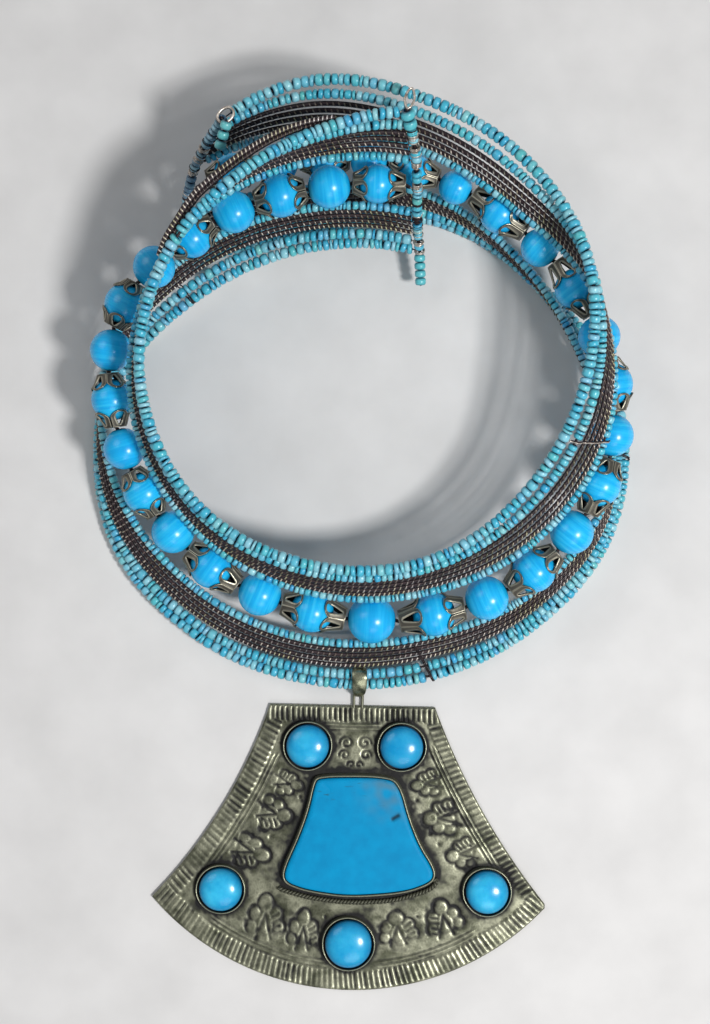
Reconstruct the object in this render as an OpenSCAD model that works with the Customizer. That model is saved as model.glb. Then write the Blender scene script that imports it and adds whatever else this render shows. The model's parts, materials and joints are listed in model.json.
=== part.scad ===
// Beaded choker: rows of small beads, coiled wire and capped glass beads,
// wound once round with the ends overlapped, and a plate pendant on a bail.
// Millimetres. It rests on the table at z = 0, the neck opening looks up,
// the pendant lies flat in front, towards -y.

/* [Rows] */
// Radius of the two rim rows
rim_r = 1.35; // [1.2:0.05:1.35]
// Radius of the second row from the top
second_r = 1.05; // [0.9:0.05:1.05]
// Radius of the second row from the bottom
eighth_r = 1.15; // [1:0.05:1.2]
// Radius of the thin rows beside the big beads
thin_r = 0.92; // [0.8:0.02:0.94]
// Radius of the strands of coiled wire
coil_r = 0.62; // [0.5:0.02:0.62]

/* [Big beads] */
// Diameter of the hole through the big beads
hole_d = 1.9; // [1.6:0.1:2.2]
// Radius of the wire through the big beads
wire_r = 0.45; // [0.4:0.05:0.5]
// Wall of the metal caps
cap_wall = 0.35; // [0.3:0.05:0.4]
// Distance of a cap's end from the middle of its bead
cap_end = 8.4; // [7.6:0.1:8.6]

/* [Pendant] */
// Thickness of the plate
plate_t = 1; // [0.8:0.1:1.1]
// Height of the raised border over the plate
border_h = 0.2; // [0.1:0.1:0.3]
// Width of the raised border
border_w = 4.2; // [3.8:0.1:4.4]
// Height of the bezels over the plate
bezel_h = 1.7; // [1.2:0.1:2]
// Rise of the dome of the round stones
dome_h = 2.6; // [2:0.1:3]
// Thickness of the middle stone
slab_t = 2.2; // [1.8:0.1:2.6]
// Width of the bail where it crosses the rows
bail_w = 3.6; // [3:0.1:3.8]
// Thickness of the bail's strip
bail_t = 0.36; // [0.3:0.02:0.4]

/* [View] */
// Piece to draw

/* [Hidden] */
// Guide curves. Turn in degrees, then radius and height of the upper rim,
// of the bead row and of the lower rim, and the bulge of the upper and lower half.
stations = [
    [75, 47.5, 36, 47, 22, 52.5, 8, 0, 0],
    [105, 43.5, 37, 47, 22.5, 53.5, 8, 1.5, 0.8],
    [135, 42.8, 40.9, 52, 22, 57.4, 5.2, 0.9, 1],
    [165, 47.6, 38, 59.3, 20, 64.3, 1.4, -3.4, 0.1],
    [195, 52.7, 34, 57.8, 17.5, 64.1, 2.2, -1.2, 1.4],
    [225, 55.8, 30, 55.5, 13.5, 58.3, 3.1, -0.3, 1.4],
    [255, 55.3, 27.2, 53.5, 12.5, 54, 3.4, 0.4, 1.4],
    [285, 54.2, 25.3, 55, 12.5, 53.7, 2.4, -0.5, -0.5],
    [315, 51, 27.3, 58, 15, 56.6, 1.3, -0.1, -0.8],
    [345, 49.1, 34.8, 58.5, 18.5, 61.9, 1.4, 1.2, -0.6],
    [375, 49.3, 37.9, 55, 19.5, 63.3, 1.8, 1.7, -5.1],
    [405, 50, 33.5, 51.5, 18.5, 60.9, 1.7, -1.2, -2.3],
    [435, 52, 31, 52, 16.5, 61.7, 1.4, -0.4, 0.3],
    [465, 57.5, 27.5, 56, 13.5, 58, 1.4, 0, 0],
    [495, 57, 30, 63, 13.5, 65, 1.4, 0, 0],
];
first_turn = 75;
turn_step = 30;
// Ring centres of the upper rim, the bead row and the lower rim
centres = [[1.8, 50.6], [0.8, 37.6], [0.8, 20.6]];
// Places across the band, from the upper rim to the lower rim
mid_w = 18;
full_w = 36;
// Name, place across the band, radius, sides
strands = [
    ["row_rim_upper", 0, rim_r, 8],
    ["row_second", 3, second_r, 8],
    ["coil_upper_1", 5.1, coil_r, 6],
    ["coil_upper_2", 6.6, coil_r, 6],
    ["coil_upper_3", 8.05, coil_r, 6],
    ["coil_upper_4", 9.5, coil_r, 6],
    ["row_thin_upper", 11.2, thin_r, 8],
    ["row_thin_lower", 24.8, thin_r, 8],
    ["coil_lower_1", 26.5, coil_r, 6],
    ["coil_lower_2", 27.9, coil_r, 6],
    ["coil_lower_3", 29.3, coil_r, 6],
    ["coil_lower_4", 30.7, coil_r, 6],
    ["row_eighth", 33.2, eighth_r, 8],
    ["row_rim_lower", 36, rim_r, 8],
];
// Turn of the end bars at each place across the band
bar_a = [[0, 80.3], [5, 78], [10, 76.3], [18, 75.4], [36, 75.7]];
bar_b = [[0, 485.8], [5, 488.6], [11, 491], [18, 492], [36, 493]];
// Turn, diameter, capped or plain
beads = [
    [86.7, 9, 1], [100.4, 10, 0], [114, 10, 1], [127, 9.8, 0],
    [139.2, 9.8, 1], [150.3, 9.8, 0], [160.8, 9.8, 1], [171.5, 9.8, 0],
    [182.5, 9.8, 1], [193.9, 9.8, 0], [204.9, 9.8, 1], [216.3, 10.2, 0],
    [228.8, 10.2, 1], [242.5, 10.4, 0], [256.3, 10.4, 1], [271.5, 11.6, 0],
    [287, 10.4, 1], [300.3, 10.4, 0], [313, 10.4, 1], [325.3, 10.4, 0],
    [337.7, 10.2, 1], [349.3, 10, 0], [361, 10, 1], [372.5, 9.8, 0],
    [385.5, 9.4, 1], [399, 9, 0], [412.7, 9.4, 1], [426, 8, 0],
    [437.5, 8.4, 1], [449, 9, 0], [460, 9.2, 1], [471, 9.4, 0],
    [481.3, 9.2, 1],
];
// Pendant: middle of the top edge, turn, bezels x, y, inner and outer radius
pendant_at = [-2.2, -38.4];
pendant_turn = -1.3;
bezels = [
    [-10.8, -9.8, 5.2, 6.1],
    [12.1, -9.6, 5.2, 6.1],
    [-31.2, -45.2, 5.2, 6.1],
    [33.7, -44.4, 5.2, 6.1],
    [0.2, -57.8, 5.7, 6.6],
];
// Hollow sides of the plate: middle x, y and radius
side_arcs = [[-140, 38, 125.7], [181, 62.6, 172.7]];
slab = [
    [-7.9, -17.4], [9.5, -17.1], [11.9, -20.2], [13.8, -26.8], [16.6, -33.5],
    [20.4, -39.3], [20.1, -42], [13.5, -44.6], [0, -45.9], [-10, -44.7],
    [-15.4, -42.9], [-15.7, -40.2], [-12.2, -32], [-10, -25.4], [-8.8, -19.3],
];
rings = 60;

function unit(v) = v / norm(v);
function spline(a, b, c, d, t) =
    (2 * b + (c - a) * t + (2 * a - 5 * b + 4 * c - d) * t * t
    + (3 * b - a - 3 * c + d) * t * t * t) / 2;
function clamp_i(i) = max(0, min(len(stations) - 1, i));
function station(turn) =
    let (s = (turn - first_turn) / turn_step)
    let (i = max(0, min(len(stations) - 2, floor(s))))
    spline(stations[clamp_i(i - 1)], stations[i], stations[i + 1],
        stations[clamp_i(i + 2)], s - i);
// One guide curve, k = 0 upper rim, 1 bead row, 2 lower rim
function guide(q, turn, k) =
    [centres[k][0] + q[1 + 2 * k] * cos(turn),
     centres[k][1] + q[1 + 2 * k] * sin(turn),
     k == 2 ? max(rim_r + 0.03, q[6]) : q[2 + 2 * k]];
// Point of the band at a turn and a place w across it
function band(turn, w) =
    let (q = station(turn))
    let (a = (w - mid_w) * (w - full_w) / (mid_w * full_w))
    let (b = w * (w - full_w) / (mid_w * (mid_w - full_w)))
    let (c = w * (w - mid_w) / (full_w * (full_w - mid_w)))
    let (out = w < mid_w ? q[7] * sin(180 * w / mid_w) : q[8] * sin(180 * (w - mid_w) / mid_w))
    a * guide(q, turn, 0) + b * guide(q, turn, 1) + c * guide(q, turn, 2)
    + out * [cos(turn), sin(turn), 0];
function along(turn, w) = unit(band(turn + 0.5, w) - band(turn - 0.5, w));
function start_turn(w) = lookup(w, bar_a) + 1.8;
function end_turn(w) = lookup(w, bar_b) - lookup(w, [[0, 2.7], [12, 2.4], [18, 2]]);
// Middle of bead i, and how far its cap on side s reaches from there
function bead_at(i) = band(beads[i][0], mid_w);
function cap_reach(i, s) =
    i + s < 0 || i + s >= len(beads)
    ? 6.4
    : min(cap_end, norm(bead_at(i + s) - bead_at(i)) - beads[i + s][1] / 2 - 0.35);

// Tube through centres p with radii r, n sides; side is any vector off its run
function path_dir(p, i) = unit(p[min(i + 1, len(p) - 1)] - p[max(i - 1, 0)]);
function ring_points(c, t, r, n, side) =
    let (a = unit(cross(t, side)))
    let (b = cross(a, t))
    [for (k = [0:n - 1]) c + r * (cos(360 * k / n) * a + sin(360 * k / n) * b)];
function skin(n, m) = [
    for (i = [0:m - 2]) for (k = [0:n - 1]) for (h = [0, 1])
        h == 0
        ? [i * n + k, i * n + (k + 1) % n, (i + 1) * n + (k + 1) % n]
        : [i * n + k, (i + 1) * n + (k + 1) % n, (i + 1) * n + k],
];

module tube(p, r, n, side = [0, 0, 1]) {
    m = len(p);
    pts = [for (i = [0:m - 1]) each ring_points(p[i], path_dir(p, i), r[i], n, side)];
    first = [for (k = [n - 1:-1:0]) k];
    last = [for (k = [0:n - 1]) (m - 1) * n + k];
    polyhedron(points = pts, faces = concat(skin(n, m), [first], [last]), convexity = 10);
}

module hoop(c, u, v, ru, rv, r, n = 6, m = 12) {
    w = unit(cross(u, v));
    pts = [
        for (i = [0:m - 1])
            let (e = c + ru * cos(360 * i / m) * u + rv * sin(360 * i / m) * v)
            let (t = unit(-ru * sin(360 * i / m) * u + rv * cos(360 * i / m) * v))
            each ring_points(e, t, r, n, w)
    ];
    faces = [
        for (i = [0:m - 1]) for (k = [0:n - 1]) for (h = [0, 1])
            let (j = (i + 1) % m)
            let (l = (k + 1) % n)
            h == 0 ? [i * n + k, i * n + l, j * n + l] : [i * n + k, j * n + l, j * n + k]
    ];
    polyhedron(points = pts, faces = faces, convexity = 10);
}

module point_along(p, d) {
    translate(p)
        rotate([0, acos(d[2]), atan2(d[1], d[0])])
            children();
}

// One strand of the band
module strand(s) {
    t0 = start_turn(s[1]);
    t1 = end_turn(s[1]);
    color(s[2] == coil_r ? [0.35, 0.26, 0.2] : [0.35, 0.7, 0.75])
        tube([for (i = [0:rings]) band(t0 + (t1 - t0) * i / rings, s[1])],
            [for (i = [0:rings]) s[2]], s[3]);
}

// One glass bead, drilled along the wire
module big_bead(i) {
    d = beads[i][1];
    color([0.15, 0.55, 0.9])
        point_along(bead_at(i), along(beads[i][0], mid_w))
            difference() {
                sphere(d = d, $fn = 48);
                cylinder(h = d + 2, d = hole_d, center = true, $fn = 24);
            }
}

// The wire runs straight through every bead and on to both end bars
module bead_wire() {
    ends = [
        for (i = [0:len(beads) - 1]) for (s = [-1, 1])
            let (e = beads[i][2] == 1 ? cap_reach(i, s) : beads[i][1] / 2)
            bead_at(i) + s * e * along(beads[i][0], mid_w)
    ];
    p = concat([band(start_turn(mid_w) + 0.3, mid_w)], ends, [band(end_turn(mid_w), mid_w)]);
    color([0.4, 0.32, 0.24])
        tube(p, [for (i = [0:len(p) - 1]) wire_r], 6);
}

// One cap, its middle at the middle of the bead, its end towards +z:
// a hollow sleeve with five petals at the rim and a hole in each petal
module cap(d, reach) {
    r0 = d / 2 + 0.15;
    r1 = r0 + cap_wall;
    end_r = 0.47 * r1;
    bore = wire_r + 0.3;
    outer = [for (a = [60, 53, 46]) r1 * [sin(a), cos(a)]];
    inner = [for (a = [48, 54, 60]) r0 * [sin(a), cos(a)]];
    far = [[end_r, reach], [bore, reach], [bore, reach - cap_wall]];
    cone = reach - r1 * cos(46);
    difference() {
        rotate_extrude($fn = 32)
            polygon(concat(outer, far, [[end_r - cap_wall, reach - cap_wall]], inner));
        for (k = [0:4]) {
            rotate(72 * k)
                translate([r1, 0, r1 * cos(60) - 0.1])
                    rotate([0, 90, 0])
                        cylinder(h = 5, r = 1.6, center = true, $fn = 20);
            rotate(72 * k + 36)
                translate([0.8 * r1, 0, r1 * cos(46) + 0.45 * cone])
                    rotate([0, 90, 0])
                        cylinder(h = 5, r = min(0.9, 0.3 * cone), center = true, $fn = 20);
        }
    }
}

// All caps, two to each capped bead
module bead_caps() {
    color([0.36, 0.31, 0.24])
        for (i = [0:len(beads) - 1])
            if (beads[i][2] == 1)
                for (s = [-1, 1])
                    point_along(bead_at(i), s * along(beads[i][0], mid_w))
                        cap(beads[i][1], cap_reach(i, s));
}

// End bar: small beads across the ends of the rows
module bar_run(table) {
    p = [for (i = [0:27]) let (w = -0.8 + (full_w + 1.4) * i / 27) band(lookup(w, table), w)];
    r = [for (i = [0:27]) i % 2 == 0 ? 0.95 : 1.25];
    tube(p, r, 8, along(lookup(mid_w, table), mid_w));
}

// Short tail of small beads through points p
module tail(p) {
    tube(p, [for (i = [0:len(p) - 1]) i % 2 == 0 ? 0.85 : 1.3], 8);
}

module end_bar_a() {
    top = band(lookup(-0.8, bar_a), -0.8);
    foot = band(lookup(full_w, bar_a), full_w);
    color([0.3, 0.62, 0.7])
        union() {
            bar_run(bar_a);
            hoop(top + [0.5, 2.2, -0.1], [0.2, 0.98, 0], [0.98, -0.2, 0], 2.2, 1, 0.35);
            tail([for (k = [0:7]) foot + [0.05 * k, -0.6 - 1.05 * k, -0.3 - 0.3 * k]]);
        }
}

module end_bar_b() {
    top = band(lookup(-0.8, bar_b), -0.8);
    color([0.3, 0.62, 0.7])
        union() {
            bar_run(bar_b);
            hoop(top + [1.6, 1.6, 0.4], [0.74, 0.67, 0], [-0.67, 0.74, 0], 2.3, 1.7, 0.35);
            tail([for (k = [0:6]) top + [1.7 - 0.35 * k, -0.2 - 0.95 * k, 1.2 - 0.5 * k]]);
        }
}

// Middle line of the bail's strip from the plate's edge: y, z, width, x
bail_line = [
    [9.71, 4.58, 3.2, 1.6], [9.4, 5.17, 3.5, 1.6], [8.9, 5.63, 3.6, 1.6], [8.2, 5.9, 3.6, 1.6],
    [7.5, 6, 3.6, 1.6], [6.4, 5.75, 3.6, 1.6], [5.2, 5.2, 3.5, 1.6], [4.2, 4.55, 3.3, 1.55],
    [3.4, 3.75, 3, 1.5], [2.85, 2.85, 2.4, 1.4], [2.5, 1.9, 1.8, 1.3], [2.4, 0.9, 1.4, 1.25],
    [2.6, 0.36, 1.3, 1.25], [3.4, 0.28, 1.3, 1.25], [4.3, 0.3, 1.6, 1.3], [5.4, 0.6, 2, 1.4],
    [6.6, 1.15, 2.4, 1.5], [7.8, 1.7, 2.8, 1.6], [8.9, 2.4, 3, 1.6], [9.55, 3.05, 3, 1.6],
    [9.8, 3.9, 3, 1.6],
];

// Bail: a flat tapered loop round the two lowest rows and through the eye
module bail() {
    m = len(bail_line);
    section = [[1, 0], [0.7, 1], [-0.7, 1], [-1, 0], [-0.7, -1], [0.7, -1]];
    pts = [
        for (i = [0:m - 1])
            let (q = bail_line[i])
            let (a = bail_line[(i + m - 1) % m])
            let (b = bail_line[(i + 1) % m])
            let (t = unit([b[0] - a[0], b[1] - a[1]]))
            for (c = section)
                [q[3] + c[0] * q[2] / 2 * bail_w / 3.6,
                 q[0] + c[1] * bail_t / 2 * t[1],
                 q[1] - c[1] * bail_t / 2 * t[0]]
    ];
    n = len(section);
    faces = [
        for (i = [0:m - 1]) for (k = [0:n - 1]) for (h = [0, 1])
            let (j = (i + 1) % m)
            let (l = (k + 1) % n)
            h == 0 ? [i * n + k, j * n + k, j * n + l] : [i * n + k, j * n + l, i * n + l]
    ];
    color([0.55, 0.53, 0.46])
        translate([pendant_at[0], pendant_at[1], 0])
            polyhedron(points = pts, faces = faces, convexity = 6);
}

module plate_shape(inset) {
    difference() {
        intersection() {
            translate([0.3, -5])
                circle(64.4 - inset, $fn = 180);
            translate([-47.9 + inset, -80])
                square([95.8 - 2 * inset, 80 - inset]);
        }
        for (c = side_arcs)
            translate([c[0], c[1]])
                circle(c[2] + inset, $fn = 240);
    }
}

// Outline pushed out by d at each corner
function grow(p, d) = [
    for (i = [0:len(p) - 1])
        let (a = unit(p[i] - p[(i + len(p) - 1) % len(p)]))
        let (b = unit(p[(i + 1) % len(p)] - p[i]))
        let (n = unit(a + b))
        p[i] + d / max(0.5, (n * b)) * [-n[1], n[0]]
];

module pendant_plate() {
    color([0.55, 0.56, 0.52])
        translate([pendant_at[0], pendant_at[1], 0])
            rotate(pendant_turn)
                union() {
                    // Flat eye for the bail
                    translate([1.25, 0, 0.6])
                        linear_extrude(0.5)
                            difference() {
                                union() {
                                    translate([-1.5, -1])
                                        square([3, 3.9]);
                                    translate([-1, 2.4])
                                        square([2, 1]);
                                    for (s = [-1, 1])
                                        translate([s, 2.9])
                                            circle(r = 0.5, $fn = 24);
                                }
                                translate([-1, 1.82])
                                    square([2, 1.02]);
                            }
                    linear_extrude(plate_t)
                        plate_shape(0);
                    linear_extrude(plate_t + border_h)
                        difference() {
                            plate_shape(0);
                            plate_shape(border_w);
                            for (b = bezels)
                                translate([b[0], b[1]])
                                    circle(r = b[2] + 0.1, $fn = 48);
                        }
                    for (b = bezels)
                        translate([b[0], b[1], plate_t / 2])
                            difference() {
                                cylinder(h = plate_t / 2 + bezel_h, r = b[3], $fn = 48);
                                translate([0, 0, plate_t / 2])
                                    cylinder(h = 5, r = b[2] + 0.1, $fn = 48);
                            }
                    linear_extrude(plate_t + slab_t - 0.4)
                        difference() {
                            polygon(grow(slab, 0.9));
                            polygon(grow(slab, 0.15));
                        }
                }
}

module cabochon(b) {
    r = b[2];
    ball = (r * r + dome_h * dome_h) / (2 * dome_h);
    color([0.1, 0.6, 0.85])
        translate([pendant_at[0], pendant_at[1], 0])
            rotate(pendant_turn)
                translate([b[0], b[1], plate_t + 0.05])
                    union() {
                        cylinder(h = 1.2, r = r, $fn = 48);
                        translate([0, 0, 1.2])
                            intersection() {
                                translate([0, 0, dome_h - ball])
                                    sphere(r = ball, $fn = 48);
                                cylinder(h = dome_h, r = r, $fn = 48);
                            }
                    }
}

module centre_stone() {
    color([0.12, 0.62, 0.85])
        translate([pendant_at[0], pendant_at[1], plate_t + 0.05])
            rotate(pendant_turn)
                difference() {
                    linear_extrude(slab_t)
                        polygon(slab);
                    // Chip near the right edge
                    translate([11.3, -26.3, slab_t])
                        rotate(35)
                            cube([2.2, 0.7, 0.8], center = true);
                }
}

function two(i) = i < 10 ? str("0", i) : str(i);

for (s = strands)
    strand(s);
for (i = [1:len(beads)])
    big_bead(i - 1);
bead_wire();
bead_caps();
end_bar_a();
end_bar_b();
bail();
pendant_plate();
for (i = [1:len(bezels)])
    cabochon(bezels[i - 1]);
centre_stone();
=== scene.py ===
"""Looks of the beaded choker: small beads, coiled wire, capped glass beads and the stamped pendant."""
import json
import math
import random

import bmesh
import bpy
import numpy as np
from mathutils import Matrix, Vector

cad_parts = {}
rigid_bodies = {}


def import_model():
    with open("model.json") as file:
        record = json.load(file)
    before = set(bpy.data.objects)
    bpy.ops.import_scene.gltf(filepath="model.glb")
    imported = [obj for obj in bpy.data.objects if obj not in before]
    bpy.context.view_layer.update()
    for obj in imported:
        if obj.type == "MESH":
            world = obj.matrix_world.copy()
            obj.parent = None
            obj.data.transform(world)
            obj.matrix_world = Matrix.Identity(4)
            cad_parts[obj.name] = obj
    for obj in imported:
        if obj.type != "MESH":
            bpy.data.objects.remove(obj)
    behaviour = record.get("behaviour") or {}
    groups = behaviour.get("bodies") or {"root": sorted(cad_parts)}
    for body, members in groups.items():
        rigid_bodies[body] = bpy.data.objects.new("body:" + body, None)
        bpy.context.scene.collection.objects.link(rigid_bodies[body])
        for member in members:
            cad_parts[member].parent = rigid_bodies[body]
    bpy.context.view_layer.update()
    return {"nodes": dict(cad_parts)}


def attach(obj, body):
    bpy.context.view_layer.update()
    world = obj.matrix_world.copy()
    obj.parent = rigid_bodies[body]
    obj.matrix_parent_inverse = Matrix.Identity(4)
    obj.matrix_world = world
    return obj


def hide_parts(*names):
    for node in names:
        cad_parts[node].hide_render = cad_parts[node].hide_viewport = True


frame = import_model()
RNG = random.Random(7)
MM = 0.001
TURN = 2 * math.pi

# The band, as in the CAD: places across it (w) run from 0 at the upper rim to 36 at the lower rim
START, STEP = 75.0, 30.0
STATIONS = np.array([
    # radius and height of the upper rim, the bead row and the lower rim; bulge of the upper and lower half
    [47.5, 36, 47, 22, 52.5, 8, 0, 0],
    [43.5, 37, 47, 22.5, 53.5, 8, 1.5, 0.8],
    [42.8, 40.9, 52, 22, 57.4, 5.2, 0.9, 1],
    [47.6, 38, 59.3, 20, 64.3, 1.4, -3.4, 0.1],
    [52.7, 34, 57.8, 17.5, 64.1, 2.2, -1.2, 1.4],
    [55.8, 30, 55.5, 13.5, 58.3, 3.1, -0.3, 1.4],
    [55.3, 27.2, 53.5, 12.5, 54, 3.4, 0.4, 1.4],
    [54.2, 25.3, 55, 12.5, 53.7, 2.4, -0.5, -0.5],
    [51, 27.3, 58, 15, 56.6, 1.3, -0.1, -0.8],
    [49.1, 34.8, 58.5, 18.5, 61.9, 1.4, 1.2, -0.6],
    [49.3, 37.9, 55, 19.5, 63.3, 1.8, 1.7, -5.1],
    [50, 33.5, 51.5, 18.5, 60.9, 1.7, -1.2, -2.3],
    [52, 31, 52, 16.5, 61.7, 1.4, -0.4, 0.3],
    [57.5, 27.5, 56, 13.5, 58, 1.4, 0, 0],
    [57, 30, 63, 13.5, 65, 1.4, 0, 0],
])
CENTRES = [(1.8, 50.6), (0.8, 37.6), (0.8, 20.6)]
MID_W, FULL_W = 18.0, 36.0
LOWEST = 1.38
# where the two end bars lie: places across the band and turns
BAR_A = ([0, 5, 10, 18, 36], [80.3, 78, 76.3, 75.4, 75.7])
BAR_B = ([0, 5, 11, 18, 36], [485.8, 488.6, 491, 492, 493])


def station(turn):
    s = (np.asarray(turn, float) - START) / STEP
    n = len(STATIONS)
    i = np.clip(np.floor(s).astype(int), 0, n - 2)
    t = (s - i)[..., None]
    a, b, c, d = (STATIONS[np.clip(i + k, 0, n - 1)] for k in (-1, 0, 1, 2))
    return (2 * b + (c - a) * t + (2 * a - 5 * b + 4 * c - d) * t * t + (3 * b - a - 3 * c + d) * t ** 3) / 2


def cols(*parts):
    """Numbers or arrays side by side as the last axis."""
    return np.stack(np.broadcast_arrays(*parts), -1)


def clamp(x):
    """Numbers kept from 0 to 1."""
    return np.clip(x, 0, 1)


def radial(turn):
    return cols(np.cos(np.radians(turn)), np.sin(np.radians(turn)), 0.0)


def band(turn, w):
    """Points of the band in millimetres, for arrays of turns in degrees and places across it."""
    turn, w = np.broadcast_arrays(np.asarray(turn, float), np.asarray(w, float))
    q = station(turn)
    guides = []
    for k, (x, y) in enumerate(CENTRES):
        z = np.maximum(LOWEST, q[..., 5]) if k == 2 else q[..., 1 + 2 * k]
        guides.append(cols(x, y, z) + q[..., 2 * k, None] * radial(turn))
    a = (w - MID_W) * (w - FULL_W) / (MID_W * FULL_W)
    b = w * (w - FULL_W) / (MID_W * (MID_W - FULL_W))
    c = w * (w - MID_W) / (FULL_W * (FULL_W - MID_W))
    across = np.where(w < MID_W, w, w - MID_W)
    bulge = np.where(w < MID_W, q[..., 6], q[..., 7]) * np.sin(np.pi * across / MID_W)
    upper, middle, lower = guides
    return (a[..., None] * upper + b[..., None] * middle + c[..., None] * lower
            + bulge[..., None] * radial(turn))


def unit(v):
    return v / np.maximum(np.linalg.norm(v, axis=-1, keepdims=True), 1e-9)


def basis(t):
    """The level side and the upmost side of a direction."""
    a = unit(np.cross(t, (0, 0, 1)))
    return a, np.cross(a, t)


def turned(angle, a, u):
    """Directions at some angles, from a towards u."""
    return np.cos(angle)[:, None] * a + np.sin(angle)[:, None] * u


def soft(gap, wide):
    """1 where a gap is 0, and smoothly down to 0 beyond a width."""
    return np.exp(-(gap / wide) ** 2)


def row_ends(w):
    gap = np.interp(w, [0, 12, 18], [2.7, 2.4, 2])
    return float(np.interp(w, *BAR_A)) + 1.8, float(np.interp(w, *BAR_B)) - float(gap)


class Path:
    """A line through points in millimetres, walked by length."""

    def __init__(self, pts):
        self.p = np.asarray(pts, float)
        seg = np.linalg.norm(np.diff(self.p, axis=0), axis=1)
        self.s = np.concatenate([[0], np.cumsum(seg)])
        self.length = float(self.s[-1])

    def at(self, s):
        return cols(*(np.interp(s, self.s, column) for column in self.p.T))

    def evenly(self, n, short=0.0):
        return self.at(np.linspace(short, self.length - short, n))

    def frames(self, s):
        """Places at some lengths, and there the direction, the level side and the side that is upmost."""
        s, reach = np.asarray(s, float), 0.25
        t = unit(self.at(np.minimum(s + reach, self.length)) - self.at(np.maximum(s - reach, 0)))
        return self.at(s), t, *basis(t)


def row_path(w):
    return Path(band(np.linspace(*row_ends(w), 900), w))


# Shapes come from operators and are read back as points in millimetres and faces.
# Points nearer than this are merged
MERGE = 0.0001


def read(bm):
    bm.verts.index_update()
    points = np.array([vert.co for vert in bm.verts])
    faces = [[vert.index for vert in face.verts] for face in bm.faces]
    bm.free()
    return points, faces


def grid_at(places):
    bm = bmesh.new()
    down, along = places.shape[:2]
    bmesh.ops.create_grid(bm, x_segments=along - 1, y_segments=down - 1, size=1)
    verts = list(bm.verts)
    for vert, place in zip(verts, places.reshape(-1, 3)):
        vert.co = place
    return bm, verts


def bent_grid(places, ring=True, rows=False, tip=False):
    """A grid moved to rows of places, welded where a row is a ring, where the rows go round, or at a tip."""
    places = np.asarray(places, float)
    if ring:
        places = np.concatenate([places, places[:, :1]], 1)
    if rows:
        places = np.concatenate([places, places[:1]])
    down, along = places.shape[:2]
    bm, verts = grid_at(places)
    weld = {verts[(i + 1) * along - 1]: verts[i * along] for i in range(down)} if ring else {}
    if rows:
        weld.update({verts[(down - 1) * along + k]: weld.get(verts[k], verts[k]) for k in range(along)})
    if tip:
        weld.update({verts[(down - 1) * along + k]: verts[(down - 1) * along] for k in range(1, along)})
    bmesh.ops.weld_verts(bm, targetmap=weld)
    bmesh.ops.recalc_face_normals(bm, faces=bm.faces)
    return read(bm)


def spun(profile, sides, closed=False):
    """A profile of places along an axis and radii, turned once round the axis."""
    bm = bmesh.new()
    line = [bm.verts.new((x, r, 0)) for x, r in profile]
    edges = [bm.edges.new(pair) for pair in zip(line, line[1:])]
    if closed:
        edges.append(bm.edges.new((line[-1], line[0])))
    bmesh.ops.spin(bm, geom=line + edges, axis=(1, 0, 0), cent=(0, 0, 0), angle=TURN, steps=sides,
                   use_merge=True)
    bmesh.ops.remove_doubles(bm, verts=bm.verts, dist=MERGE)
    bmesh.ops.recalc_face_normals(bm, faces=bm.faces)
    return read(bm)


def wire(places, radius, sides=6, closed=False, ends=True):
    """A round wire through places, from a curve with a bevel. Without ends its points lie ring by ring."""
    curve = bpy.data.curves.new("wire", "CURVE")
    curve.dimensions = "3D"
    curve.bevel_depth, curve.bevel_resolution, curve.use_fill_caps = radius, sides // 2 - 2, ends
    spline = curve.splines.new("POLY")
    spline.points.add(len(places) - 1)
    spline.points.foreach_set("co", cols(*np.transpose(places), 1.0).ravel())
    spline.use_cyclic_u = closed
    thing = bpy.data.objects.new("wire", curve)
    mesh = bpy.data.meshes.new_from_object(thing)
    bm = bmesh.new()
    bm.from_mesh(mesh)
    if ends:
        bmesh.ops.remove_doubles(bm, verts=bm.verts, dist=MERGE)
    for kept, made in ((bpy.data.objects, thing), (bpy.data.curves, curve), (bpy.data.meshes, mesh)):
        kept.remove(made)
    return read(bm)


class Piece:
    """One piece in the making: its shapes, and for each the number of its finish and its tint."""

    def __init__(self):
        self.points, self.faces, self.finish, self.tints, self.count = [], [], [], [], 0

    def add(self, shape, finish=0, tint=(0.5, 0.5, 0.5)):
        points, faces = shape
        self.points.append(points)
        self.faces.extend([k + self.count for k in face] for face in faces)
        self.finish.extend([finish] * len(faces))
        self.tints.append(np.broadcast_to(np.asarray(tint, float), (len(points), 3)))
        self.count += len(points)

    def done(self, name, finishes, slot, *replaced):
        """Makes the object, rides it on the choker and hides the CAD nodes it stands for."""
        mesh = bpy.data.meshes.new(name)
        mesh.from_pydata((np.concatenate(self.points) * MM).tolist(), [], self.faces)
        for finish in finishes:
            mesh.materials.append(finish)
        mesh.polygons.foreach_set("material_index", self.finish)
        mesh.polygons.foreach_set("use_smooth", [True] * len(mesh.polygons))
        tint = np.ones((self.count, 4), np.float32)
        tint[:, :3] = np.concatenate(self.tints)
        mesh.color_attributes.new("tint", "FLOAT_COLOR", "POINT").data.foreach_set("color", tint.ravel())
        thing = bpy.data.objects.new(name, mesh)
        bpy.context.scene.collection.objects.link(thing)
        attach(thing, "root")
        if replaced:
            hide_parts(*replaced)


# A small bead: places along the hole and radii, as shares of its size, and how much painted light each gets;
# its ends, where it meets its neighbours, get painted shade
BEAD_PROFILE = [(-1, 0.46), (-0.9, 0.82), (-0.44, 1.0), (0.44, 1.0), (0.9, 0.82), (1, 0.46)]
END_SHADE = [0.0, 0.5, 1.0, 1.0, 0.5, 0.0]
SHORTEST, LONGEST, LEAN = 0.8, 2.3, 0.11
SMALL_BEADS = {sides: spun(BEAD_PROFILE, sides, True) for sides in (10, 16, 18)}


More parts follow.
